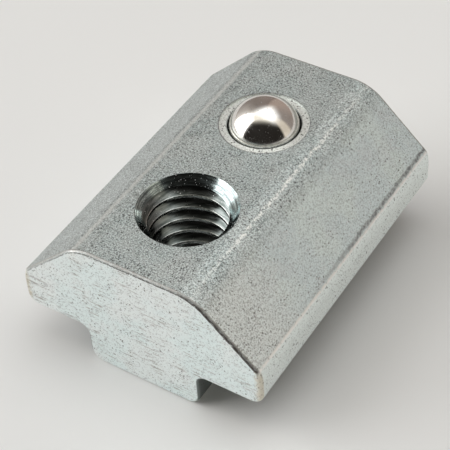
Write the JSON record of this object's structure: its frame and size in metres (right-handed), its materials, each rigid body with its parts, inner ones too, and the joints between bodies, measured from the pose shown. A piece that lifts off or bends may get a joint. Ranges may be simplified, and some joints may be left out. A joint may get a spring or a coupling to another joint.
{
  "type": "t slot nut",
  "caption": "T-section slot nut with bevelled head, a threaded screw hole and a spring-loaded ball that holds it in a profile slot.",
  "frame": {"origin": "centre of the neck's bottom face", "axes": "+Z from the neck to the top face with the ball, Y along the slot with the threaded hole towards -Y and the ball towards +Y, X across the slot"},
  "size_m": [0.017, 0.0216, 0.0113],
  "materials": {
    "zinc_plated_steel": "clear zinc plating, matt, slightly worn",
    "polished_steel": "mirror polished",
    "spring_steel": "bright drawn wire"
  },
  "bodies": {
    "nut": {"nut_body": "zinc_plated_steel", "spring": "spring_steel"},
    "detent_ball": {"ball": "polished_steel"}
  },
  "joints": [
    {"name": "ball_press", "type": "slide", "parent": "nut", "child": "detent_ball", "axis": [0, 0, -1], "range_m": [0, 0.0015], "stiffness_N_per_m": 2500, "springref_m": -0.0004, "deforming": ["spring"]}
  ]
}
